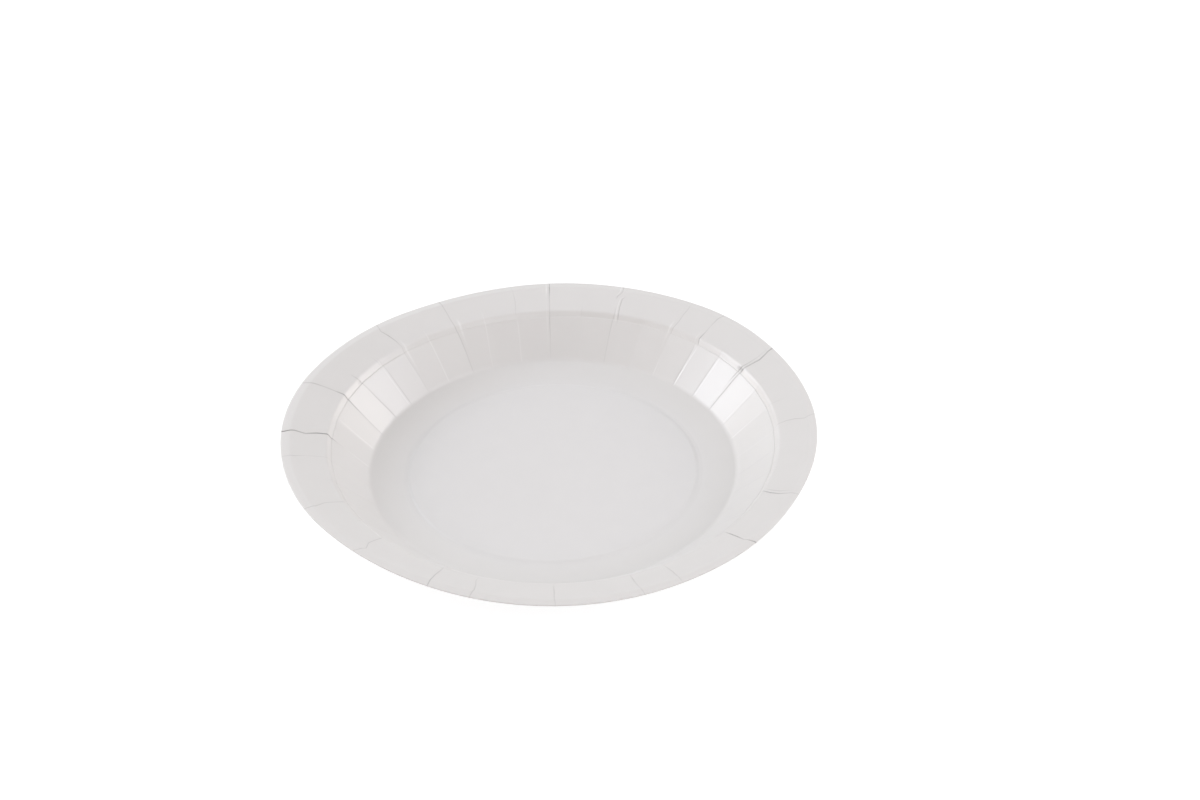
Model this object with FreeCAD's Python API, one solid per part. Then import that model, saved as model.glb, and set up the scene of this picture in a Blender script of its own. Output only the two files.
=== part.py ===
import FreeCAD, Part
import math
import os

# Round pressed paper plate, one sheet of thin board. Millimetres and degrees.
# Origin: middle of the underside of the standing ring. +Z up, +X to the plate's right, +Y to its back.

doc = FreeCAD.newDocument("paper_plate")

# Driving dimensions. Widths are measured flat, along a radius, and they run from the edge inwards.
driving_sizes = [
    ("plate_diameter", 230.0, "across the outer edge"),
    ("sheet_thickness", 0.5, "board, the same everywhere"),
    ("rim_width", 17.1, "edge to the shoulder's corner, lip included"),
    ("rim_slope", 17.2, "rise of the rim towards its lip, degrees"),
    ("lip_width", 3.5, "outer strip where the rim levels out"),
    ("lip_end_slope", -3.0, "slope at the very edge, degrees"),
    ("shoulder_radius", 2.5, "rounding where the rim turns down"),
    ("band_width", 1.3, "steep band under the shoulder, run"),
    ("band_height", 2.4, "steep band under the shoulder, rise"),
    ("ledge_width", 0.5, "narrow ledge pressed at the wall's top"),
    ("ledge_rise", 0.1, "rise of that ledge outwards"),
    ("wall_width", 15.3, "floor's corner to the ledge, run"),
    ("wall_height", 15.1, "floor's corner to the ledge, rise"),
    ("corner_radius", 4.0, "rounding between floor and wall"),
    ("floor_band_width", 14.8, "floor's corner to the standing strip, run"),
    ("floor_band_rise", 2.5, "rise of that band outwards: the floor is slightly dished"),
    ("standing_width", 1.7, "level strip that the plate stands on"),
    ("ring_width", 1.2, "slope of the pressed ring, run"),
    ("ring_rise", 0.4, "how far the middle stands above the standing strip"),
    ("score_count", 40, "radial scores pressed round the wall"),
    ("score_start", 1.5, "direction of the first score from +X, degrees"),
    ("score_width", 0.9, "across a score at the shoulder"),
    ("score_depth", 0.35, "how far a score dips"),
    ("tick_length", 5.0, "how far a plain score runs out on the rim"),
    ("strong_fold_depth", 0.5, "dip of the deepest folds across the rim"),
    ("fold_depth", 0.35, "dip of the usual folds across the rim"),
    ("light_fold_depth", 0.2, "dip of the faintest folds across the rim"),
    ("saddle_height", 1.7, "the edge bows up at two sides, down between"),
    ("saddle_direction", 5.7, "towards its first high side, degrees"),
    ("lean_height", 0.7, "the edge stands higher at one side"),
    ("lean_direction", 158.0, "towards that side, degrees"),
    ("ripple_height", 0.5, "four low waves round the edge"),
    ("ripple_direction", 67.5, "towards the first wave's top, degrees"),
    ("shoulder_share", 0.61, "share of the bowing that reaches the shoulder"),
]

# Scores that carry on as a fold to the edge, counted round from the first score.
strong_folds = [3, 18, 20, 35, 37]
usual_folds = [0, 5, 8, 10, 13, 15, 23, 25, 27]
light_folds = [6, 11, 21, 28, 30, 32, 33]

sheet = doc.addObject("Spreadsheet::Sheet", "Sizes")
for row, (name, value, note) in enumerate(driving_sizes, start=1):
    sheet.set("A%d" % row, name)
    sheet.set("B%d" % row, str(value))
    sheet.set("C%d" % row, note)
    sheet.setAlias("B%d" % row, name)
doc.recompute()

plate_radius = sheet.plate_diameter / 2
thickness = sheet.sheet_thickness
shoulder_at = plate_radius - sheet.rim_width
ledge_outer_at = shoulder_at - sheet.band_width
ledge_inner_at = ledge_outer_at - sheet.ledge_width
corner_at = ledge_inner_at - sheet.wall_width
standing_outer_at = corner_at - sheet.floor_band_width
ring_outer_at = standing_outer_at - sheet.standing_width
ring_inner_at = ring_outer_at - sheet.ring_width

standing_top = thickness
middle_top = standing_top + sheet.ring_rise
corner_top = standing_top + sheet.floor_band_rise
ledge_inner_top = corner_top + sheet.wall_height
ledge_outer_top = ledge_inner_top + sheet.ledge_rise
shoulder_top = ledge_outer_top + sheet.band_height

score_count = int(sheet.score_count)
pitch = math.radians(360.0 / score_count)
half_score = sheet.score_width / shoulder_at / 2


def slope_of(start, end):
    return math.atan2(end[1] - start[1], end[0] - start[0])


def rounded_corner(before, corner, after, radius, steps):
    """Points of the arc that rounds a corner between two straight runs."""
    first = slope_of(before, corner)
    last = slope_of(corner, after)
    turn = last - first
    side = math.copysign(1.0, turn)
    tangent = radius * math.tan(abs(turn) / 2)
    start = (corner[0] - tangent * math.cos(first), corner[1] - tangent * math.sin(first))
    centre = (start[0] - side * radius * math.sin(first), start[1] + side * radius * math.cos(first))
    points = []
    for step in range(steps + 1):
        heading = first + turn * step / steps
        points.append((centre[0] + side * radius * math.sin(heading),
                       centre[1] - side * radius * math.cos(heading)))
    return points


def lip_arc(start, width, first, last, steps):
    """Points after the start of an arc that turns from one slope to another over a flat width."""
    radius = width / (math.sin(first) - math.sin(last))
    points = []
    for step in range(1, steps + 1):
        heading = first + (last - first) * step / steps
        points.append((start[0] + radius * (math.sin(first) - math.sin(heading)),
                       start[1] + radius * (math.cos(heading) - math.cos(first))))
    return points


def section_line():
    """The plate's upper face along a radius, as (zone, distance from the axis, height) from the middle out."""
    rim_slope = math.radians(sheet.rim_slope)
    lip_at = plate_radius - sheet.lip_width
    standing_outer = (standing_outer_at, standing_top)
    corner = (corner_at, corner_top)
    ledge_inner = (ledge_inner_at, ledge_inner_top)
    ledge_outer = (ledge_outer_at, ledge_outer_top)
    shoulder = (shoulder_at, shoulder_top)
    tick_end = (shoulder_at + sheet.tick_length,
                shoulder_top + sheet.tick_length * math.tan(rim_slope))
    lip = (lip_at, shoulder_top + (lip_at - shoulder_at) * math.tan(rim_slope))
    foot_arc = rounded_corner(standing_outer, corner, ledge_inner, sheet.corner_radius, 2)
    shoulder_arc = rounded_corner(ledge_outer, shoulder, lip, sheet.shoulder_radius, 2)
    edge_arc = lip_arc(lip, sheet.lip_width, rim_slope, math.radians(sheet.lip_end_slope), 2)
    line = [("floor", ring_inner_at, middle_top), ("floor", ring_outer_at, standing_top)]
    line += [("floor",) + point for point in (standing_outer, foot_arc[0])]
    line.append(("foot",) + foot_arc[1])
    line.append(("wall",) + foot_arc[2])
    line += [("wall",) + point for point in [ledge_inner, ledge_outer] + shoulder_arc[:2]]
    line.append(("shoulder",) + shoulder_arc[2])
    line += [("rim",) + point for point in [tick_end, lip] + edge_arc]
    return line


def outward_normals(line):
    """Unit normals of the upper face at each point, lengthened so that an offset keeps its width."""
    normals = []
    for i in range(len(line)):
        here = line[i][1:]
        before = slope_of(line[i - 1][1:], here) if i > 0 else 0.0
        after = slope_of(here, line[i + 1][1:]) if i < len(line) - 1 else before
        middle = (before + after) / 2
        stretch = 1 / math.cos((after - before) / 2)
        normals.append((-math.sin(middle) * stretch, math.cos(middle) * stretch))
    return normals


def bowing(angle, distance):
    """Height that the sheet's bowing adds at a place. The floor doesn't bow."""
    if distance <= corner_at:
        return 0.0
    if distance <= shoulder_at:
        share = sheet.shoulder_share * (distance - corner_at) / (shoulder_at - corner_at)
    else:
        share = sheet.shoulder_share
        share += (1 - sheet.shoulder_share) * (distance - shoulder_at) / sheet.rim_width
    lift = sheet.lean_height * math.cos(angle - math.radians(sheet.lean_direction))
    lift += sheet.saddle_height * math.cos(2 * (angle - math.radians(sheet.saddle_direction)))
    lift += sheet.ripple_height * math.cos(4 * (angle - math.radians(sheet.ripple_direction)))
    return lift * share


def rim_fold_depth(score):
    if score in strong_folds:
        return sheet.strong_fold_depth
    if score in usual_folds:
        return sheet.fold_depth
    if score in light_folds:
        return sheet.light_fold_depth
    return 0.0


def dip(zone, score):
    """How far the middle of a score lies below the face beside it."""
    depths = {"floor": 0.0, "foot": sheet.score_depth / 2, "rim": rim_fold_depth(score)}
    return depths.get(zone, sheet.score_depth)


upper_line = section_line()
normals = outward_normals(upper_line)


def radial_section(angle, score=None, mid_panel=False):
    """Closed outline of the sheet in the upright plane at an angle."""
    upper = []
    lower = []
    for (zone, distance, height), (out, up) in zip(upper_line, normals):
        sink = 0.0 if score is None else dip(zone, score)
        # Between two scores the wall is a flat panel, so its middle lies inside the circle.
        flat = math.cos(pitch / 2 - half_score) if mid_panel and zone == "wall" else 1.0
        lift = bowing(angle, distance)
        for face, depth in ((upper, sink), (lower, sink + thickness)):
            reach = (distance - out * depth) * flat
            face.append(FreeCAD.Vector(reach * math.cos(angle), reach * math.sin(angle),
                                       height - up * depth + lift))
    return upper, lower


# Four sections for each score: its two sides, its middle, and the middle of the panel after it.
sections = []
for score in range(score_count):
    middle = math.radians(sheet.score_start) + score * pitch
    sections.append(radial_section(middle - half_score))
    sections.append(radial_section(middle, score=score))
    sections.append(radial_section(middle + half_score))
    sections.append(radial_section(middle + pitch / 2, mid_panel=True))

# From the standing strip outwards the sheet is lofted through the sections, upper face, edge and underside.
strip_index = 2
outlines = [Part.makePolygon(upper[strip_index:] + lower[:strip_index - 1:-1]) for upper, lower in sections]
pleated_faces = Part.makeLoft(outlines, False, True, True).Faces


def floor_faces(strip_points, depth):
    """One side of the floor: the level strip round the pressed ring, the ring's slope and the middle."""
    profile = []
    for (zone, distance, height), (out, up) in zip(upper_line[:strip_index], normals):
        profile.append(FreeCAD.Vector(distance - out * depth, 0, height - up * depth))
    ring_inner, ring_outer = profile
    strip_rim = Part.makePolygon(strip_points + strip_points[:1])
    strip_hole = Part.Wire(Part.makeCircle(ring_outer.x, FreeCAD.Vector(0, 0, ring_outer.z)))
    strip = Part.makeFace([strip_rim, strip_hole], "Part::FaceMakerBullseye")
    slope_and_middle = Part.makePolygon([ring_outer, ring_inner, FreeCAD.Vector(0, 0, ring_inner.z)])
    turned = slope_and_middle.revolve(FreeCAD.Vector(0, 0, 0), FreeCAD.Vector(0, 0, 1), 360)
    return strip.Faces + turned.Faces


upper_floor = floor_faces([upper[strip_index] for upper, lower in sections], 0.0)
lower_floor = floor_faces([lower[strip_index] for upper, lower in sections], thickness)
skin = Part.Shell(pleated_faces + upper_floor + lower_floor)
skin.sewShape()

plate = doc.addObject("Part::Feature", "plate")
plate.Label = "plate"
plate.Shape = Part.Solid(skin)
plate.Placement = FreeCAD.Placement()

doc.recompute()
for item in doc.Objects:
    if "Invalid" in item.State or "Error" in item.State:
        raise RuntimeError("%s did not compute" % item.Label)
if plate.Shape.isNull() or not plate.Shape.isValid() or len(plate.Shape.Solids) != 1:
    raise RuntimeError("the plate is not one valid solid")

os.makedirs("parts", exist_ok=True)
plate.Shape.exportStep("parts/%s.step" % plate.Label)
box = plate.Shape.BoundBox
print("plate %.2f x %.2f x %.2f mm, %d faces, %.0f mm3"
      % (box.XLength, box.YLength, box.ZLength, len(plate.Shape.Faces), plate.Shape.Volume))
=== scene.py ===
import math

import bpy
import numpy as np
from mathutils import Matrix, Vector


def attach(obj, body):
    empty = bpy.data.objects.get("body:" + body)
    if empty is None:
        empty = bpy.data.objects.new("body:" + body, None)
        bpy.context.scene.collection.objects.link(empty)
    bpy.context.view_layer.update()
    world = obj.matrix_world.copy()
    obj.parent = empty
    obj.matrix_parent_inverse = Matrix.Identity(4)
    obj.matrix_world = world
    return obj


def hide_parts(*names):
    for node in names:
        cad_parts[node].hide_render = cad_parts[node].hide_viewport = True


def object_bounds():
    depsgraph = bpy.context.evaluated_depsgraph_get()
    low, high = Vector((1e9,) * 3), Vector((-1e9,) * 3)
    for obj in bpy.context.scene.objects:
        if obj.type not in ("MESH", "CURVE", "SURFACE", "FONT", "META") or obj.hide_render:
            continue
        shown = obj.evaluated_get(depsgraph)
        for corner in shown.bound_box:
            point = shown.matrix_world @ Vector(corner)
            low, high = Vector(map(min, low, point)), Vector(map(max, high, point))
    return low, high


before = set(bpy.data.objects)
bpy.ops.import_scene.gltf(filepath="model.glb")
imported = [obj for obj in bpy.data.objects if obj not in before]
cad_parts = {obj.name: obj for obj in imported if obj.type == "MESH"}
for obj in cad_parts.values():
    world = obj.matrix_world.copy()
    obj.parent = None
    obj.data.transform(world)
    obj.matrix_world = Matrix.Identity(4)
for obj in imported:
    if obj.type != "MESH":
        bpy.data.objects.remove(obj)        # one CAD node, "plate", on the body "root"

cadLow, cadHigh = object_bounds()
mm = 0.001                      # the plate's sizes are written in millimetres

# Section of the plate. Widths run flat along a radius, from the edge inwards. Slopes are in degrees.
plateShape = {
    "boardThickness": 0.5,
    "rimWidth": 17.1,           # edge to the shoulder's corner, lip included
    "rimSlope": 19.0,
    "lipWidth": 3.4,            # nearly level strip along the edge
    "lipSlope": -0.5,
    "lipRounding": 3.0,
    "shoulderRadius": 2.5,
    "bandWidth": 1.5,           # steep band under the shoulder
    "bandHeight": 2.3,
    "ledgeWidth": 0.4,          # narrow ledge at the top of the wall
    "ledgeRise": 0.1,
    "ledgeRounding": 0.3,
    "wallWidth": 15.2,
    "wallHeight": 15.1,
    "footRadius": 5.0,          # rounding between floor and wall
    "floorBandWidth": 14.8,     # from the wall's foot in to the strip that the plate stands on
    "floorBandRise": 2.5,       # the floor is slightly dished
    "standingWidth": 1.7,
    "standingRounding": 6.0,
    "ringWidth": 1.2,           # slope of the ring pressed in the floor
    "ringRise": 0.42,           # the middle stands this much above the standing strip
    "ringRounding": 0.45,       # the slope eases in and out over this much more on each side
    "edgeRounding": 0.1,        # of the board's cut edge
}

# How the sheet has bowed. Each entry: height at the edge, direction of its top, waves round the edge.
plateBowing = {
    "lean": (0.83, 142.0, 1),
    "saddle": (1.45, 6.7, 2),
    "ripple": (0.5, 67.5, 4),
    "shareAtShoulder": 0.61,
}

# The sheet wasn't cut true to its pressing: outward shift in mm of the cut edge, every 15 degrees from +X round by +Y,
# and how far and which way the wall's top is pressed off the middle.
edgeTrim = [-0.7, -0.9, -0.4, 0.9, -0.2, 0.0, 1.1, 0.5, -0.7, -0.2, -0.4, 1.0,
            1.6, 1.3, 0.6, -1.0, -0.9, -0.2, 0.1, 0.0, -0.3, 0.3, -0.7, -0.5]
pressingShift = {"wallTop": 0.4, "direction": 0.0}

# Radial scores round the wall, counted from the first.
plateScores = {
    "count": 40,
    "firstAt": 1.5,
    "lineHalfWidth": 0.2,
    "plainTone": -2,            # tone of a score on the wall where nothing else is listed: a faint line of painted shade
    "scoreStart": (-1.0, 1.5),  # a score fades in between these distances from the foot
    "plainScoreEnd": 3.0,       # and a plain one dies out this far past the shoulder
    "groovePerTone": 0.006,     # mm deep for each level that a crease is darker
    "ridgePerTone": 0.004,
    "toneForFullPaintedShade": 30,         # tone at which a crease has the full painted shade colour; the next, the full painted highlight colour
    "toneForFullPaintedHighlight": 13,
    "undersideShare": 0.5,      # painted crease shade and highlight are half as strong on the underside
    "panelFlatness": 0.7,       # 1 is a flat panel between two scores, 0 a round wall
    "panelStart": (-1.0, 2.0),  # the panels turn flat between these distances from the foot
    "panelEnd": 1.5,            # and round again this far past the shoulder
}

# How fine the mesh is: steps of each rounding, rows of each straight run, and columns round the plate.
plateMesh = {
    "middleShares": (0.0, 0.35, 0.65, 0.85, 0.96),
    "ringSteps": 8,
    "standingSteps": 3,
    "floorRows": 3,
    "footSteps": 9,
    "wallRows": 6,
    "ledgeSteps": 3,
    "bandRows": 1,
    "shoulderSteps": 8,
    "rimRows": 11,
    "lipSteps": 4,
    "lipRows": 3,
    "sideLines": [0.0, 0.1, 0.22, 0.45, 0.9],   # columns each side of a crease, mm away
    "sideShare": 0.4,                           # most of a panel that the side lines may take
    "panelLines": 6,                            # columns across the panel between two creases
    "panelFrom": 0.06,                          # gap between creases, in radians, that counts as a panel
}

# Distances from the middle at which a crease is described: foot, middle and top of the wall, shoulder, a quarter, half
# and three quarters of the rim, edge. One fold breaks off on the rim and goes on beside itself.
creasePlaces = [82.5, 89.0, 95.0, 98.0, 102.0, 106.0, 110.0, 114.5]
brokenFoldLow = [95.5, 97.0, 102.0, 104.0, 107.0, 108.5]
brokenFoldHigh = [106.5, 108.0, 109.5, 111.0, 114.5]


def crease(score, drift, tone, width=1.0, places=creasePlaces):
    return {"score": score, "drift": drift, "tone": tone, "width": width, "places": places}


# Scores that show otherwise than a plain one, some as two creases: number of the score, how far the crease strays from
# it in degrees, and how much darker (-) or lighter (+) than the board it looks, in levels of 255: painted into the
# board's colour as shade or highlight, and pressed in as a groove or raised as a ridge. With 0 it hardly shows. The
# width is a multiple of the usual one.
creases = [
    crease(0, (-0.2, -0.7, -1.1, 0.0, 0.2, -0.2, -1.1, 0.0), (4, 3, 2, -5, -8, -10, -8, -6)),
    crease(1, (0.9, 0.6, 0.4, 0.0, 0.0, 0.0, 0.0, 0.0), (7, 4, 0, -3, -2, 0, 0, 0)),
    crease(2, (-0.5, -0.4, -0.4, 0.0, 0.0, 0.0, 0.0, 0.0), (-4, -3, -3, -2, 0, 0, 0, 0)),
    crease(2, (0.4, 0.4, 0.4, 0.9, 0.9, 0.9, 0.9, 0.9), (5, 3, 3, 0, 0, 0, 0, 0)),
    crease(3, (0.1, 0.0, -0.1, -0.5, -0.8, -1.1, -0.6, 0.2), (-10, -10, -12, -13, -15, -19, -14, -18), width=1.5),
    crease(3, (0.9, 0.9, 0.8, 0.4, 0.1, 0.0, 0.3, 0.8), (0, 0, -12, -14, -9, -5, -3, 0)),
    crease(4, (-0.2, -0.3, -0.4, -0.2, -0.2, -0.2, -0.2, -0.2), (6, 5, 5, 0, 0, 0, 0, 0)),
    crease(4, (0.4, 0.3, 0.3, 0.5, 0.5, 0.5, 0.5, 0.5), (-6, -6, -4, -2, 0, 0, 0, 0)),
    crease(5, (-0.1, -0.5, -0.9, -0.2, -0.2, -0.1, -0.1, -0.5), (13, 10, 5, -22, -8, -3, -9, -9)),
    crease(5, (0.4, 0.2, 0.2, 0.9, 0.9, 0.9, 0.9, 0.9), (-6, -4, -4, 4, 0, 0, 0, 0)),
    crease(6, (-0.1, 0.0, 0.0, -0.3, -0.6, -0.5, -0.7, -0.4), (5, 0, -1, -7, -6, -5, -5, 0)),
    crease(6, (0.8, 0.8, 0.8, 0.7, 0.7, 0.7, 0.7, 0.7), (0, 0, 2, 7, 0, 0, 0, 0), width=2.0),
    crease(7, (0.0, 0.0, 0.0, 0.0, 0.0, 0.0, 0.0, 0.0), (0, 0, 0, 0, 0, 0, 0, 0)),
    crease(8, (-1.6, -1.6, -1.2, -1.15, -1.15, -1.9), (0, -10, -10, -10, -9, 0), places=brokenFoldLow),
    crease(8, (-1.0, -1.0, -0.6, -0.6, -0.65, -1.3), (0, 6, 5, 6, 5, 0), places=brokenFoldLow),
    crease(8, (0.0, 0.0, -0.1, -0.4, -0.2, -0.2, -1.1, -1.2), (-3, -3, -5, -6, 0, 0, 0, 0)),
    crease(8, (0.35, 0.35, -0.2, -0.6, -0.4), (0, -9, -8, -7, -8), places=brokenFoldHigh),
    crease(8, (0.95, 0.95, 0.4, 0.0, 0.2), (0, 0, 3, 7, 7), places=brokenFoldHigh),
    crease(9, (0.0, 0.0, 0.0, 0.0, 0.0, 0.0, 0.0, 0.0), (0, 0, 0, -2, 0, 0, 0, 0)),
    crease(10, (0.1, 0.0, 0.1, 0.0, 0.0, 0.0, -0.1, -0.1), (-2, -3, -8, -6, -5, -8, -17, -14)),
    crease(10, (0.8, 0.8, 0.8, 0.8, 0.8, 0.8, 0.7, 0.7), (0, 1, 4, 2, 1, 1, 10, 5)),
    crease(11, (0.9, 0.5, 0.3, 0.6, 0.2, 0.0, 0.1, 0.3), (3, 3, 4, -2, -4, -4, -2, -2)),
    crease(12, (1.9, 1.3, 0.7, 0.7, 0.7, 0.7, 0.7, 0.7), (2, 3, 4, 3, 1, 0, 0, 0)),
    crease(13, (0.0, 0.0, 0.2, 0.5, 0.6, 0.5, 0.5, 0.6), (-4, -5, -8, -7, -6, -6, -6, -9)),
    crease(13, (-1.1, -1.1, -1.0, -1.1, -1.1, -1.1, -1.1, -1.1), (0, 0, 3, 7, 0, 0, 0, 0), width=2.5),
    crease(14, (0.4, 0.2, 0.2, 0.3, 0.3, 0.3, 0.3, 0.3), (5, 4, 6, 3, 0, 0, 0, 0)),
    crease(15, (0.0, 0.1, 0.3, 0.0, 0.0, 0.4, 1.1, 0.2), (-2, -3, -5, -3, -9, -15, -8, -7)),
    crease(15, (-0.8, -0.8, -0.8, -1.0, -1.1, -1.1, -1.1, -1.1), (0, 0, 6, 5, 0, 0, 0, 0), width=2.5),
    crease(16, (-0.5, -0.5, -0.5, -0.2, -0.2, -0.2, -0.2, -0.2), (-6, -5, -5, -2, 0, 0, 0, 0)),
    crease(16, (0.3, 0.3, 0.3, 0.6, 0.6, 0.6, 0.6, 0.6), (4, 4, 2, -4, 0, 0, 0, 0)),
    crease(17, (-0.9, -0.2, 0.3, 0.9, 0.9, 0.9, 0.9, 0.9), (-9, -9, -6, -8, 0, 0, 0, 0), width=1.6),
    crease(18, (-0.1, -0.1, -0.2, -0.3, 0.0, 0.2, 0.6, 1.5), (-6, -7, -16, -22, -8, -7, -11, -8), width=1.4),
    crease(19, (-0.9, -0.6, -0.6, -0.6, -0.6, -0.6, -0.6, -0.6), (5, 4, 2, 0, 0, 0, 0, 0), width=2.0),
    crease(20, (-0.7, -0.7, -0.7, -0.9, -0.2, 1.0, 0.7, 1.5), (5, 2, -6, -34, -34, -17, -24, -36), width=1.3),
    crease(21, (-0.3, -0.3, -0.3, -0.2, 0.0, 0.3, 0.9, 1.1), (0, 0, 0, -3, -3, -2, -8, -4)),
    crease(23, (0.2, 0.2, 0.2, 0.5, 0.4, 0.5, 1.5, 1.5), (0, 0, 0, -8, -6, -7, -10, -8)),
    crease(25, (0.0, 0.0, 0.0, -0.3, -0.1, 0.3, 1.9, 0.8), (0, 0, 0, -8, -8, -8, -9, -6)),
    crease(27, (0.3, 0.3, 0.3, 0.4, 0.6, 0.7, 1.0, 1.3), (0, 0, 0, -3, -9, -10, -14, -11)),
    crease(28, (0.3, 0.3, 0.3, 0.3, 0.3, 1.0, 1.4, 1.2), (0, 0, 0, 0, -5, -6, -9, -6)),
    crease(30, (-0.3, -0.3, -0.3, -0.4, -0.4, -0.3, -0.3, -0.1), (0, 0, 0, 0, -6, -8, -7, -4)),
    crease(32, (-0.7, -0.7, -0.7, -0.7, -0.8, -0.9, -0.9, -0.6), (0, 0, 0, 0, -9, -6, -4, -5)),
    crease(33, (-1.3, -1.3, -1.3, -1.4, -1.3, -1.3, -1.5, -1.5), (0, 0, 0, 0, -6, -9, -7, -2)),
    crease(35, (-0.7, -0.7, -0.7, -0.8, -1.0, -1.3, -1.7, -0.9), (0, 0, 0, 0, -24, -24, -9, -24)),
    crease(37, (-0.8, -0.8, -0.8, -0.8, -1.6, -2.0, -1.9, -1.5), (0, 0, 0, -12, -26, -20, -10, -5)),
    crease(37, (0.1, 0.1, 0.1, 0.1, -0.6, -1.0, -0.9, -0.5), (0, 0, 0, 0, -9, -10, -2, 0)),
]

# Short dents along the shoulder, where a strong crease has buckled it: degrees from the score, mm from the middle.
# The tone sets both the dent's depth and the shade painted into it.
shoulderDents = [
    {"score": 3, "low": -0.7, "high": 1.2, "distance": 97.3, "tone": -14},
    {"score": 17, "low": 0.3, "high": 1.7, "distance": 97.0, "tone": -6},
]
dentShape = {"halfWidth": 0.5, "fullUntil": 0.7, "goneAt": 1.3}   # last two in shares of half its length


def easeBetween(values, low, high):
    # 0 up to low, 1 from high on, and a smooth step between them
    share = np.clip((values - low) / (high - low), 0.0, 1.0)
    return share * share * (3 - 2 * share)


def slopeBetween(start, end):
    return math.atan2(end[1] - start[1], end[0] - start[0])


def roundedCorner(before, corner, after, radius, steps):
    # points of the arc that rounds a corner between two straight runs
    first = slopeBetween(before, corner)
    turn = slopeBetween(corner, after) - first
    side = math.copysign(1.0, turn)
    tangent = radius * math.tan(abs(turn) / 2)
    centreX = corner[0] - tangent * math.cos(first) - side * radius * math.sin(first)
    centreZ = corner[1] - tangent * math.sin(first) + side * radius * math.cos(first)
    headings = [first + turn * step / steps for step in range(steps + 1)]
    return [(centreX + side * radius * math.sin(a), centreZ - side * radius * math.cos(a)) for a in headings]


def straightRun(start, end, rows):
    # points between two others, without the two themselves
    shares = [step / (rows + 1) for step in range(1, rows + 1)]
    return [(start[0] + (end[0] - start[0]) * t, start[1] + (end[1] - start[1]) * t) for t in shares]


def sectionPlaces():
    # distances from the middle and heights of the section's corners in mm, in order from the middle outwards
    s = plateShape
    edge = (cadHigh.x - cadLow.x) / 2 / mm
    standingTop = s["boardThickness"]
    shoulder = edge - s["rimWidth"]
    ledgeOuter = shoulder - s["bandWidth"]
    ledgeInner = ledgeOuter - s["ledgeWidth"]
    foot = ledgeInner - s["wallWidth"]
    standingOuter = foot - s["floorBandWidth"]
    ringOuter = standingOuter - s["standingWidth"]
    footTop = standingTop + s["floorBandRise"]
    ledgeTop = footTop + s["wallHeight"]
    shoulderTop = ledgeTop + s["ledgeRise"] + s["bandHeight"]
    lip = edge - s["lipWidth"]
    lipTop = shoulderTop + (lip - shoulder) * math.tan(math.radians(s["rimSlope"]))
    return {
        "ringInner": (ringOuter - s["ringWidth"], standingTop + s["ringRise"]),
        "ringOuter": (ringOuter, standingTop),
        "standing": (standingOuter, standingTop),
        "foot": (foot, footTop),
        "ledgeInner": (ledgeInner, ledgeTop),
        "ledgeOuter": (ledgeOuter, ledgeTop + s["ledgeRise"]),
        "shoulder": (shoulder, shoulderTop),
        "lip": (lip, lipTop),
        "edge": (edge, lipTop + s["lipWidth"] * math.tan(math.radians(s["lipSlope"]))),
    }


def upperLine(places):
    # the upper face along a radius, from the middle to the edge
    s, m = plateShape, plateMesh
    names = list(places)

    def cornerArc(name, radius, steps):
        at = names.index(name)
        return roundedCorner(places[names[at - 1]], places[name], places[names[at + 1]], radius, steps)

    standingArc = cornerArc("standing", s["standingRounding"], m["standingSteps"])
    footArc = cornerArc("foot", s["footRadius"], m["footSteps"])
    innerArc = cornerArc("ledgeInner", s["ledgeRounding"], m["ledgeSteps"])
    outerArc = cornerArc("ledgeOuter", s["ledgeRounding"], m["ledgeSteps"])
    shoulderArc = cornerArc("shoulder", s["shoulderRadius"], m["shoulderSteps"])
    lipArc = cornerArc("lip", s["lipRounding"], m["lipSteps"])
    middle = places["ringInner"]
    line = [(middle[0] * share, middle[1]) for share in m["middleShares"]]
    slopeStart = middle[0] - s["ringRounding"]
    slopeRun = s["ringWidth"] + 2 * s["ringRounding"]
    for share in np.linspace(0.0, 1.0, m["ringSteps"] + 1):
        line.append((slopeStart + slopeRun * share, middle[1] - s["ringRise"] * easeBetween(share, 0.0, 1.0)))
    line += standingArc
    line += straightRun(standingArc[-1], footArc[0], m["floorRows"])
    line += footArc
    line += straightRun(footArc[-1], innerArc[0], m["wallRows"])
    line += innerArc + outerArc
    line += straightRun(outerArc[-1], shoulderArc[0], m["bandRows"])
    line += shoulderArc
    line += straightRun(shoulderArc[-1], lipArc[0], m["rimRows"])
    line += lipArc
    line += straightRun(lipArc[-1], places["edge"], m["lipRows"])
    line.append(places["edge"])
    return np.array(line)


def lineNormals(line):
    # upward normals of the upper face, lengthened at corners so that an offset keeps its width
    runs = np.diff(line, axis=0)
    slopes = np.arctan2(runs[:, 1], runs[:, 0])
    before = np.concatenate([[0.0], slopes])
    after = np.concatenate([slopes, [slopes[-1]]])
    middle = (before + after) / 2
    stretch = 1 / np.cos((after - before) / 2)
    return np.stack([-np.sin(middle) * stretch, np.cos(middle) * stretch], axis=1)


def bowingAt(angles, distances, places):
    # height that the bowing adds. The floor doesn't bow.
    foot, shoulder, edge = (places[name][0] for name in ("foot", "shoulder", "edge"))
    share = np.interp(distances, [foot, shoulder, edge], [0.0, plateBowing["shareAtShoulder"], 1.0])
    lift = np.zeros_like(angles)
    for name in ("lean", "saddle", "ripple"):
        height, top, waves = plateBowing[name]
        lift += height * np.cos(waves * (angles - math.radians(top)))
    return lift * share


def roundValues(values, angles):
    # a closed smooth curve through values that are spread evenly round the plate
    stops = np.linspace(0.0, 2 * math.pi, len(values), endpoint=False)
    nearby = (-0.12, -0.06, 0.0, 0.06, 0.12)    # averaged over these turns in radians
    return sum(np.interp(angles + d, stops, values, period=2 * math.pi) for d in nearby) / len(nearby)


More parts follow.
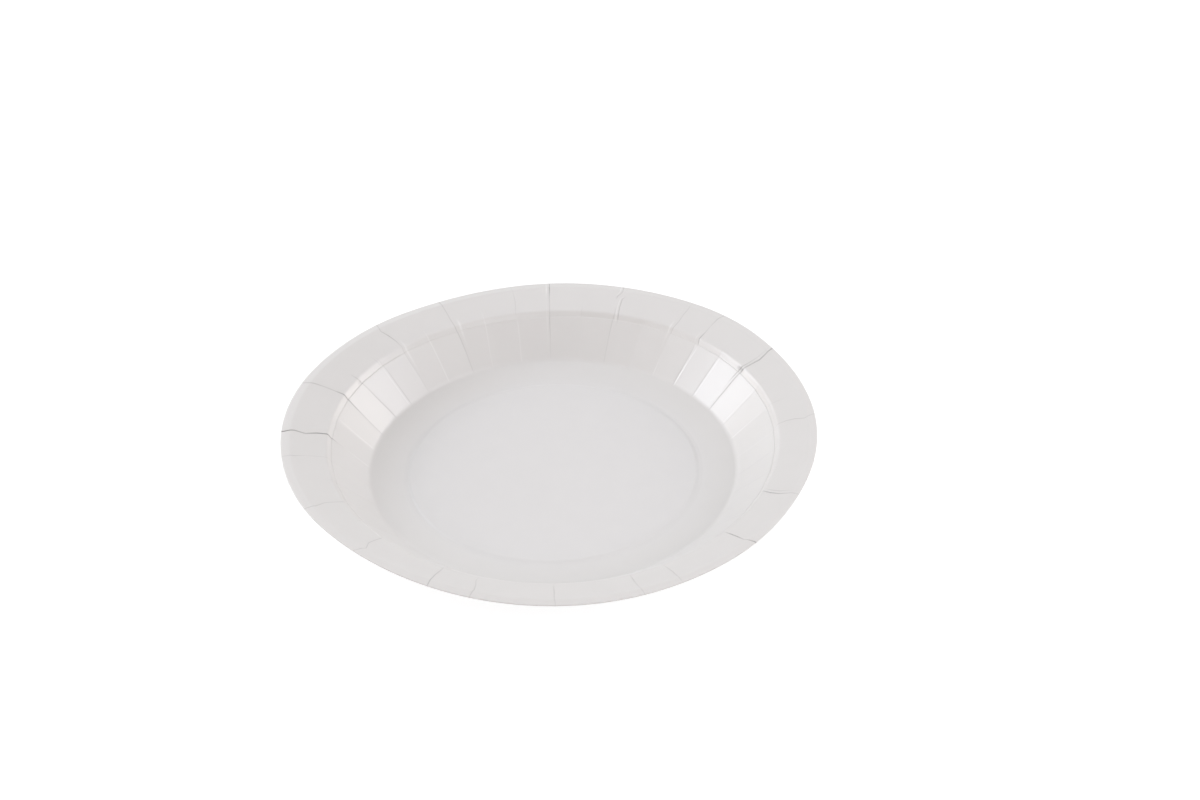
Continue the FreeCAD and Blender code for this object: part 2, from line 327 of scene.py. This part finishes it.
def sidewaysAt(angles, distances, places):
    # how far a place has moved out along its radius, from the uneven cut and the shifted pressing
    foot, top, shoulder, edge = (places[name][0] for name in ("foot", "ledgeInner", "shoulder", "edge"))
    trim = roundValues(edgeTrim, angles) * np.interp(distances, [shoulder, edge], [0.0, 1.0])
    towards = np.cos(angles - math.radians(pressingShift["direction"]))
    pressed = np.interp(distances, [foot, top, shoulder, edge], [0.0, 1.0, 1.0, 0.0])
    return trim + pressingShift["wallTop"] * towards * pressed


def creaseList(distance, places):
    # every crease in order round the plate, with its angle, tone and width at each distance from the middle
    s = plateScores
    foot, shoulder = places["foot"][0], places["shoulder"][0]
    reach = easeBetween(distance, foot + s["scoreStart"][0], foot + s["scoreStart"][1])
    onWall = reach * (1 - easeBetween(distance, shoulder, shoulder + s["plainScoreEnd"]))
    listed = {entry["score"] for entry in creases}
    plain = [crease(k, [0.0] * len(creasePlaces), None) for k in range(s["count"]) if k not in listed]
    found = []
    for entry in creases + plain:
        drift = np.interp(distance, entry["places"], entry["drift"])
        angle = np.radians(s["firstAt"] + 360.0 / s["count"] * entry["score"] + drift)
        if entry["tone"] is None:
            tone = s["plainTone"] * onWall
        else:
            tone = np.interp(distance, entry["places"], entry["tone"]) * reach
        found.append({"angle": angle, "tone": tone, "width": entry["width"] * s["lineHalfWidth"]})
    return sorted(found, key=lambda here: here["angle"].mean())


def stationAngles(found, reach):
    # angles of the mesh's columns: a few close beside each crease and some across the panel to the next one, all drawn
    # together where the two creases lie close
    sides = plateMesh["sideLines"]
    columns = []
    for here, following in zip(found, found[1:] + found[:1]):
        start = here["angle"]
        end = following["angle"] + (2 * math.pi if following["angle"][0] < start[0] else 0)
        fit = np.minimum(1.0, plateMesh["sideShare"] * (end - start) * reach / sides[-1]) / reach
        inner = plateMesh["panelLines"] if (end - start).min() > plateMesh["panelFrom"] else 1
        columns += [start + offset * fit for offset in sides]
        low, high = start + sides[-1] * fit, end - sides[-1] * fit
        columns += [low + (high - low) * (i + 1) / (inner + 1) for i in range(inner)]
        columns += [end - offset * fit for offset in reversed(sides[1:])]
    return np.stack(columns, axis=1)


def plateStations(line, places):
    # angle, relief, tone (a share of painted shade or painted highlight) and flatness at each station round the plate
    # (columns) for each point of the line (rows)
    s = plateScores
    distance = line[:, 0]
    found = creaseList(distance, places)
    angles = stationAngles(found, np.maximum(distance, places["ringInner"][0]))
    relief = np.zeros_like(angles)
    tone = np.zeros_like(angles)
    for here in found:
        turn = angles - here["angle"][:, None]
        away = (turn - 2 * math.pi * np.round(turn / (2 * math.pi))) * distance[:, None]
        shape = here["tone"][:, None] * np.exp(-(away / here["width"]) ** 2)
        relief += np.where(shape < 0, s["groovePerTone"], s["ridgePerTone"]) * shape
        # painted shade where a crease is darker, painted highlight where it is lighter
        tone += np.where(shape < 0, 1 / s["toneForFullPaintedShade"], 1 / s["toneForFullPaintedHighlight"]) * shape
    pitch = 2 * math.pi / s["count"]
    firstAngle = math.radians(s["firstAt"])
    for dent in shoulderDents:
        halfSpan = math.radians(dent["high"] - dent["low"]) / 2
        middle = firstAngle + pitch * dent["score"] + math.radians(dent["low"] + dent["high"]) / 2
        fade = (dentShape["fullUntil"] * halfSpan, dentShape["goneAt"] * halfSpan)
        along = 1 - easeBetween(np.abs(angles - middle), *fade)
        across = np.exp(-((distance - dent["distance"]) / dentShape["halfWidth"]) ** 2)[:, None]
        relief += s["groovePerTone"] * dent["tone"] * along * across
        # painted shade in the dent
        tone += dent["tone"] / s["toneForFullPaintedShade"] * along * across
    fromPanel = np.mod(angles - firstAngle, pitch) - pitch / 2
    foot, top, shoulder = (places[name][0] for name in ("foot", "ledgeInner", "shoulder"))
    flatShare = easeBetween(distance, foot + s["panelStart"][0], foot + s["panelStart"][1])
    flatShare *= 1 - easeBetween(distance, top, shoulder + s["panelEnd"])
    flat = 1 + s["panelFlatness"] * flatShare[:, None] * (math.cos(pitch / 2) / np.cos(fromPanel) - 1)
    return angles, relief, tone, flat


def buildPlate():
    places = sectionPlaces()
    line = upperLine(places)
    normals = lineNormals(line)
    angles, relief, tone, flat = plateStations(line, places)
    columns = angles.shape[1]
    thickness = plateShape["boardThickness"]
    rounding = plateShape["edgeRounding"]
    lift = bowingAt(angles, line[:, :1], places)
    sideways = sidewaysAt(angles, line[:, :1], places)

    def faceAt(depth, extra=0.0):
        # one face of the board, depth mm under the upper one; extra moves it out along the radius
        out = (line[:, :1] + normals[:, :1] * (relief - depth) + extra) * flat + sideways
        height = line[:, 1:] + normals[:, 1:] * (relief - depth) + lift
        return np.stack([out * np.cos(angles), out * np.sin(angles), height], axis=2)

    upper, lower = faceAt(0.0), faceAt(thickness)
    lowerRows = list(range(len(line) - 2, 0, -2))
    # the cut edge from the upper face down: depth in the board, and how far it stands out past its rounded corners
    corner = [(0.0, 0.0), (0.3 * rounding, 0.7 * rounding), (rounding, rounding)]
    cutEdge = corner + [(thickness / 2, rounding)] + [(thickness - depth, extra) for depth, extra in corner[::-1]]
    edgeRows = np.array([faceAt(depth, extra - rounding)[-1] for depth, extra in cutEdge])
    grid = np.concatenate([upper[1:-1], edgeRows, lower[lowerRows]])
    edgeTone = np.repeat(tone[-1:], len(edgeRows), 0)
    shade = np.concatenate([tone[1:-1], edgeTone, tone[lowerRows] * plateScores["undersideShare"]])
    points = np.concatenate([[[0, 0, upper[0, 0, 2]], [0, 0, lower[0, 0, 2]]], grid.reshape(-1, 3)]) * mm
    tones = np.concatenate([[0, 0], shade.ravel()])

    index = 2 + np.arange(len(grid) * columns).reshape(len(grid), columns)
    following = np.roll(index, -1, axis=1)
    quads = np.stack([index[1:], following[1:], following[:-1], index[:-1]], axis=2).reshape(-1, 4)
    faces = [tuple(face) for face in quads.tolist()]
    faces += [(0, int(a), int(b)) for a, b in zip(index[0], following[0])]
    faces += [(1, int(b), int(a)) for a, b in zip(index[-1], following[-1])]

    mesh = bpy.data.meshes.new("pressedPlate")
    mesh.from_pydata([tuple(p) for p in points.tolist()], [], faces)
    # painted shade and painted highlight along the creases, kept on the mesh for the material
    paintedCreaseShadeAndHighlight = mesh.attributes.new("paintedCreaseShadeAndHighlight", "FLOAT", "POINT")
    paintedCreaseShadeAndHighlight.data.foreach_set("value", tones.astype(np.float32))
    mesh.shade_smooth()
    mesh.update()
    materialIndex = np.zeros(len(faces), dtype=np.int32)     # 0 is the coated upper face, 1 the bare board
    materialIndex[(len(line) - 2) * columns:] = 1
    materialIndex[len(quads):len(quads) + columns] = 0
    mesh.polygons.foreach_set("material_index", materialIndex)
    plate = bpy.data.objects.new("pressedPlate", mesh)
    bpy.context.scene.collection.objects.link(plate)
    print("plate:", len(points), "points,", len(faces), "faces,", 2 * len(quads) + 2 * columns, "triangles")
    return plate


# Colour of the board in linear light, and its finish.
boardFinish = {
    "colour": (0.74, 0.735, 0.725),
    "paintedWarmTint": (1.0, 0.997, 0.988),   # painted warm light: outside the pressed ring the board's colour is tinted a little warmer
    "paintedWarmTintFrom": 58.0,              # mm from the middle
    "paintedWarmTintTo": 74.0,
    # colours painted along the creases: shade in the dark ones, highlight in the light ones
    "paintedCreaseShadeColour": (0.20, 0.19, 0.185),
    "paintedCreaseHighlightColour": (0.92, 0.92, 0.91),
    "coatedRoughness": 0.3,
    "coatedBump": 0.3,
    "bareRoughness": 0.7,
    "bareBump": 0.6,
    "bumpHeight": 0.00003,              # metres
    "mottleDepth": 0.015,               # share by which the mottle darkens and lightens the board
    "grainSize": 900.0,                 # noise scale, the higher the finer
    "mottleSize": 90.0,
}


def addSocket(group, name, inOut, kind, value=None):
    socket = group.interface.new_socket(name=name, in_out=inOut, socket_type=kind)
    if value is not None:
        socket.default_value = value


def paperGrainGroup():
    # fibre and mottle of paper board, in object space so that it stays on the sheet
    group = bpy.data.node_groups.new("paperGrain", "ShaderNodeTree")
    addSocket(group, "Grain Size", "INPUT", "NodeSocketFloat", 900.0)
    addSocket(group, "Mottle Size", "INPUT", "NodeSocketFloat", 90.0)
    addSocket(group, "Mottle", "OUTPUT", "NodeSocketFloat")
    addSocket(group, "Height", "OUTPUT", "NodeSocketFloat")
    nodes, links = group.nodes, group.links
    entry = nodes.new("NodeGroupInput")
    leave = nodes.new("NodeGroupOutput")
    place = nodes.new("ShaderNodeTexCoord")
    grain = nodes.new("ShaderNodeTexNoise")
    grain.inputs["Detail"].default_value = 4.0
    grain.inputs["Roughness"].default_value = 0.65
    mottle = nodes.new("ShaderNodeTexNoise")
    mottle.inputs["Detail"].default_value = 3.0
    links.new(place.outputs["Object"], grain.inputs["Vector"])
    links.new(place.outputs["Object"], mottle.inputs["Vector"])
    links.new(entry.outputs["Grain Size"], grain.inputs["Scale"])
    links.new(entry.outputs["Mottle Size"], mottle.inputs["Scale"])
    blend = nodes.new("ShaderNodeMix")
    blend.inputs["Factor"].default_value = 0.5
    links.new(grain.outputs["Fac"], blend.inputs["A"])
    links.new(mottle.outputs["Fac"], blend.inputs["B"])
    links.new(mottle.outputs["Fac"], leave.inputs["Mottle"])
    links.new(blend.outputs["Result"], leave.inputs["Height"])
    return group


def outsideMaskGroup():
    # 0 near the plate's middle, 1 further out, eased between two distances
    group = bpy.data.node_groups.new("outsideMask", "ShaderNodeTree")
    addSocket(group, "From", "INPUT", "NodeSocketFloat", 0.05)
    addSocket(group, "To", "INPUT", "NodeSocketFloat", 0.08)
    addSocket(group, "Share", "OUTPUT", "NodeSocketFloat")
    nodes, links = group.nodes, group.links
    entry = nodes.new("NodeGroupInput")
    leave = nodes.new("NodeGroupOutput")
    place = nodes.new("ShaderNodeTexCoord")
    level = nodes.new("ShaderNodeVectorMath")
    level.operation = "MULTIPLY"
    level.inputs[1].default_value = (1.0, 1.0, 0.0)
    distance = nodes.new("ShaderNodeVectorMath")
    distance.operation = "LENGTH"
    share = nodes.new("ShaderNodeMapRange")
    share.interpolation_type = "SMOOTHSTEP"
    links.new(place.outputs["Object"], level.inputs[0])
    links.new(level.outputs["Vector"], distance.inputs[0])
    links.new(distance.outputs["Value"], share.inputs["Value"])
    links.new(entry.outputs["From"], share.inputs["From Min"])
    links.new(entry.outputs["To"], share.inputs["From Max"])
    links.new(share.outputs["Result"], leave.inputs["Share"])
    return group


def boardMaterial(name, grainGroup, outsideGroup, roughness, bumpStrength):
    material = bpy.data.materials.new(name)
    material.use_nodes = True
    nodes, links = material.node_tree.nodes, material.node_tree.links
    shader = nodes["Principled BSDF"]
    grain = nodes.new("ShaderNodeGroup")
    grain.node_tree = grainGroup
    grain.inputs["Grain Size"].default_value = boardFinish["grainSize"]
    grain.inputs["Mottle Size"].default_value = boardFinish["mottleSize"]
    tint = nodes.new("ShaderNodeMix")
    tint.data_type = "RGBA"
    for end, sign in (("A", -1), ("B", 1)):
        shade = 1 + sign * boardFinish["mottleDepth"]
        tint.inputs[end].default_value = tuple(c * shade for c in boardFinish["colour"]) + (1.0,)
    links.new(grain.outputs["Mottle"], tint.inputs["Factor"])
    outside = nodes.new("ShaderNodeGroup")
    outside.node_tree = outsideGroup
    outside.inputs["From"].default_value = boardFinish["paintedWarmTintFrom"] * mm
    outside.inputs["To"].default_value = boardFinish["paintedWarmTintTo"] * mm
    # painted warm light on the board outside the pressed ring
    paintedWarmLight = nodes.new("ShaderNodeMix")
    paintedWarmLight.data_type = "RGBA"
    paintedWarmLight.blend_type = "MULTIPLY"
    paintedWarmLight.inputs["B"].default_value = boardFinish["paintedWarmTint"] + (1.0,)
    links.new(outside.outputs["Share"], paintedWarmLight.inputs["Factor"])
    links.new(tint.outputs["Result"], paintedWarmLight.inputs["A"])
    # painted shade and painted highlight along the creases, mixed into the board's colour
    paintedCreaseShadeAndHighlight = nodes.new("ShaderNodeAttribute")
    paintedCreaseShadeAndHighlight.attribute_name = "paintedCreaseShadeAndHighlight"
    colour = paintedWarmLight.outputs["Result"]
    for colourName, full in (("paintedCreaseShadeColour", -1.0), ("paintedCreaseHighlightColour", 1.0)):
        share = nodes.new("ShaderNodeMapRange")
        share.inputs["From Max"].default_value = full
        links.new(paintedCreaseShadeAndHighlight.outputs["Fac"], share.inputs["Value"])
        creased = nodes.new("ShaderNodeMix")
        creased.data_type = "RGBA"
        creased.inputs["B"].default_value = boardFinish[colourName] + (1.0,)
        links.new(share.outputs["Result"], creased.inputs["Factor"])
        links.new(colour, creased.inputs["A"])
        colour = creased.outputs["Result"]
    links.new(colour, shader.inputs["Base Color"])
    shader.inputs["Roughness"].default_value = roughness
    bump = nodes.new("ShaderNodeBump")
    bump.inputs["Strength"].default_value = bumpStrength
    bump.inputs["Distance"].default_value = boardFinish["bumpHeight"]
    links.new(grain.outputs["Height"], bump.inputs["Height"])
    links.new(bump.outputs["Normal"], shader.inputs["Normal"])
    return material


# Camera, fitted to the outline, shoulder and floor of the plate in the photograph (1200 by 800 pixels).
photoCamera = {
    "lens": 53.74,                      # on a 36 mm wide sensor
    "place": (0.0210, -0.6258, 0.4854),
    "downwards": 35.62,                 # degrees below level, looking along +Y
    "roll": -0.82,
}

# A tent of white panels stands round the table. Bearing from +X and height above the table in degrees, watts of red,
# green and blue light: the low panels are a little warmer than the high ones.
tentPanels = {
    "rightLow": {"bearing": 30.0, "above": 14.0, "power": (1.98, 1.85, 1.74)},
    "rightMiddle": {"bearing": 15.0, "above": 25.0, "power": (0.60, 0.57, 0.65)},
    "rightHigh": {"bearing": 30.0, "above": 36.0, "power": (0.97, 1.05, 1.15)},
    "backLow": {"bearing": 120.0, "above": 14.0, "power": (0.66, 0.71, 0.71)},
    "leftLow": {"bearing": 150.0, "above": 14.0, "power": (1.27, 1.21, 1.18)},
    "leftMiddle": {"bearing": 165.0, "above": 25.0, "power": (1.59, 1.65, 1.77)},
    "leftHigh": {"bearing": 150.0, "above": 36.0, "power": (2.24, 2.36, 2.55)},
    "leftFront": {"bearing": 210.0, "above": 14.0, "power": (0.89, 0.73, 0.70)},
    "frontMiddle": {"bearing": 270.0, "above": 36.0, "power": (0.47, 0.47, 0.52)},
    "frontRight": {"bearing": 300.0, "above": 36.0, "power": (1.53, 1.53, 1.58)},
    "frontTop": {"bearing": 285.0, "above": 48.0, "power": (0.18, 0.18, 0.18)},
    "frontEnd": {"bearing": 315.0, "above": 25.0, "power": (0.73, 0.69, 0.71)},
    "topRight": {"bearing": 0.0, "above": 60.0, "power": (0.44, 0.45, 0.46)},
    "topBack": {"bearing": 30.0, "above": 60.0, "power": (0.58, 0.60, 0.65)},
}
tentShape = {"panelSize": 0.42, "distance": 0.9}    # metres
worldLight = {
    "ambient": (0.305, 0.28, 0.26),
    "background": 1.0,      # white that only the camera sees
}
floorFinish = {
    "size": 6.0,            # metres
    "colour": 0.8,          # as the plate and the lamps see it
    "shownWhite": 0.9,      # as the camera sees it: this much white of its own,
    "shownColour": 0.2,     # and the rest by light, so that the shadow stays
}


def addCamera():
    data = bpy.data.cameras.new("photoCamera")
    data.sensor_width = 36.0
    data.lens = photoCamera["lens"]
    data.clip_start = 0.01
    camera = bpy.data.objects.new("photoCamera", data)
    tilt = Matrix.Rotation(math.radians(90.0 - photoCamera["downwards"]), 4, "X")
    roll = Matrix.Rotation(math.radians(photoCamera["roll"]), 4, "Z")
    camera.matrix_world = Matrix.Translation(photoCamera["place"]) @ tilt @ roll
    bpy.context.scene.collection.objects.link(camera)
    bpy.context.scene.camera = camera


def addTent():
    for name, panel in tentPanels.items():
        data = bpy.data.lights.new(name, "AREA")
        data.shape = "SQUARE"
        data.size = tentShape["panelSize"]
        data.energy = max(panel["power"])
        data.color = [power / data.energy for power in panel["power"]]
        lamp = bpy.data.objects.new(name, data)
        bearing, above = math.radians(panel["bearing"]), math.radians(panel["above"])
        level = math.cos(above)
        towards = Vector((level * math.cos(bearing), level * math.sin(bearing), math.sin(above)))
        lamp.location = towards * tentShape["distance"]
        lamp.rotation_mode = "QUATERNION"
        lamp.rotation_quaternion = towards.to_track_quat("Z", "Y")
        bpy.context.scene.collection.objects.link(lamp)


def addWorld():
    world = bpy.data.worlds.new("studio")
    bpy.context.scene.world = world
    world.use_nodes = True
    nodes, links = world.node_tree.nodes, world.node_tree.links
    ambient = nodes["Background"]
    ambient.inputs["Strength"].default_value = 1.0
    ambient.inputs["Color"].default_value = worldLight["ambient"] + (1.0,)
    seen = nodes.new("ShaderNodeBackground")
    seen.inputs["Strength"].default_value = worldLight["background"]
    seen.inputs["Color"].default_value = (1, 1, 1, 1)
    path = nodes.new("ShaderNodeLightPath")
    mix = nodes.new("ShaderNodeMixShader")
    links.new(path.outputs["Is Camera Ray"], mix.inputs["Fac"])
    links.new(ambient.outputs["Background"], mix.inputs[1])
    links.new(seen.outputs["Background"], mix.inputs[2])
    links.new(mix.outputs["Shader"], nodes["World Output"].inputs["Surface"])


def addFloor():
    mesh = bpy.data.meshes.new("studioFloor")
    half = floorFinish["size"] / 2
    corners = [(x * half, y * half, cadLow.z) for x, y in ((-1, -1), (1, -1), (1, 1), (-1, 1))]
    mesh.from_pydata(corners, [], [(0, 1, 2, 3)])
    floor = bpy.data.objects.new("studioFloor", mesh)
    bpy.context.scene.collection.objects.link(floor)
    material = bpy.data.materials.new("studioFloor")
    material.use_nodes = True
    nodes, links = material.node_tree.nodes, material.node_tree.links
    shader = nodes["Principled BSDF"]
    shader.inputs["Base Color"].default_value = (floorFinish["colour"],) * 3 + (1.0,)
    shader.inputs["Roughness"].default_value = 1.0
    shader.inputs["Specular IOR Level"].default_value = 0.0
    white = nodes.new("ShaderNodeEmission")
    white.inputs["Strength"].default_value = floorFinish["shownWhite"]
    shadowed = nodes.new("ShaderNodeBsdfDiffuse")
    shadowed.inputs["Color"].default_value = (floorFinish["shownColour"],) * 3 + (1.0,)
    together = nodes.new("ShaderNodeAddShader")
    path = nodes.new("ShaderNodeLightPath")
    mix = nodes.new("ShaderNodeMixShader")
    links.new(white.outputs["Emission"], together.inputs[0])
    links.new(shadowed.outputs["BSDF"], together.inputs[1])
    links.new(path.outputs["Is Camera Ray"], mix.inputs["Fac"])
    links.new(shader.outputs["BSDF"], mix.inputs[1])
    links.new(together.outputs["Shader"], mix.inputs[2])
    links.new(mix.outputs["Shader"], nodes["Material Output"].inputs["Surface"])
    mesh.materials.append(material)


bpy.context.scene.view_settings.view_transform = "Standard"
addCamera()
addWorld()
addTent()
addFloor()
print("studio: camera, world, tent and floor")

grainGroup = paperGrainGroup()
outsideGroup = outsideMaskGroup()
pressedPlate = buildPlate()
for kind in ("coated", "bare"):
    roughness, bumpStrength = boardFinish[kind + "Roughness"], boardFinish[kind + "Bump"]
    material = boardMaterial(kind + "Board", grainGroup, outsideGroup, roughness, bumpStrength)
    pressedPlate.data.materials.append(material)
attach(pressedPlate, "root")
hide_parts("plate")
print("plate: material and place set")
